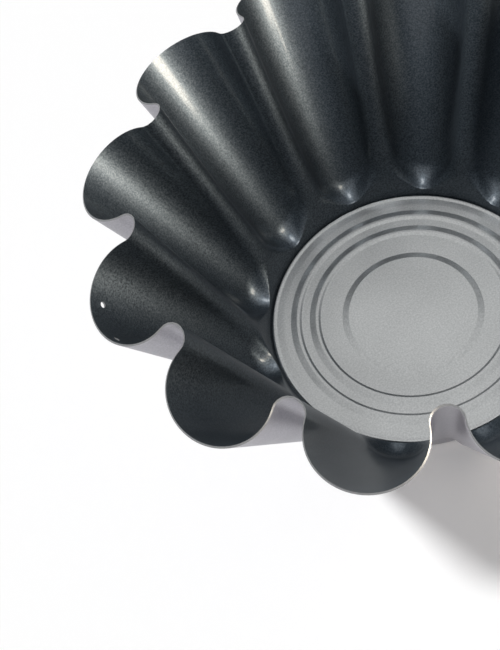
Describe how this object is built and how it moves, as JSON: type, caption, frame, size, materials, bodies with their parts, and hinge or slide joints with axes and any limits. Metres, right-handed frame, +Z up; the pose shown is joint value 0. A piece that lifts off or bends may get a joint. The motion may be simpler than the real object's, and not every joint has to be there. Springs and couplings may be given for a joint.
{
  "type": "fluted cake mould",
  "caption": "Fluted brioche mould: a flared pressed-metal shell with deep round flutes and an embossed loose base that is pushed up to release the cake.",
  "frame": {"origin": "on the mould's axis, in the plane of the table it stands on", "axes": "+Z up along the mould's axis; the flute with the two hang holes points along -X"},
  "size_m": [0.1998, 0.1998, 0.0875],
  "materials": {
    "dark_coated_steel": "dark non-stick coating with a fine metallic grain, bare sheared edge at the rim",
    "bright_coated_steel": "pale grey non-stick coating with a fine metallic grain, embossed rings"
  },
  "bodies": {
    "shell": {"fluted_shell": "dark_coated_steel"},
    "base": {"loose_base": "bright_coated_steel"}
  },
  "joints": [
    {"name": "base_lift", "type": "slide", "parent": "shell", "child": "base", "axis": [0, 0, 1], "range_m": [0, 0.11]}
  ]
}
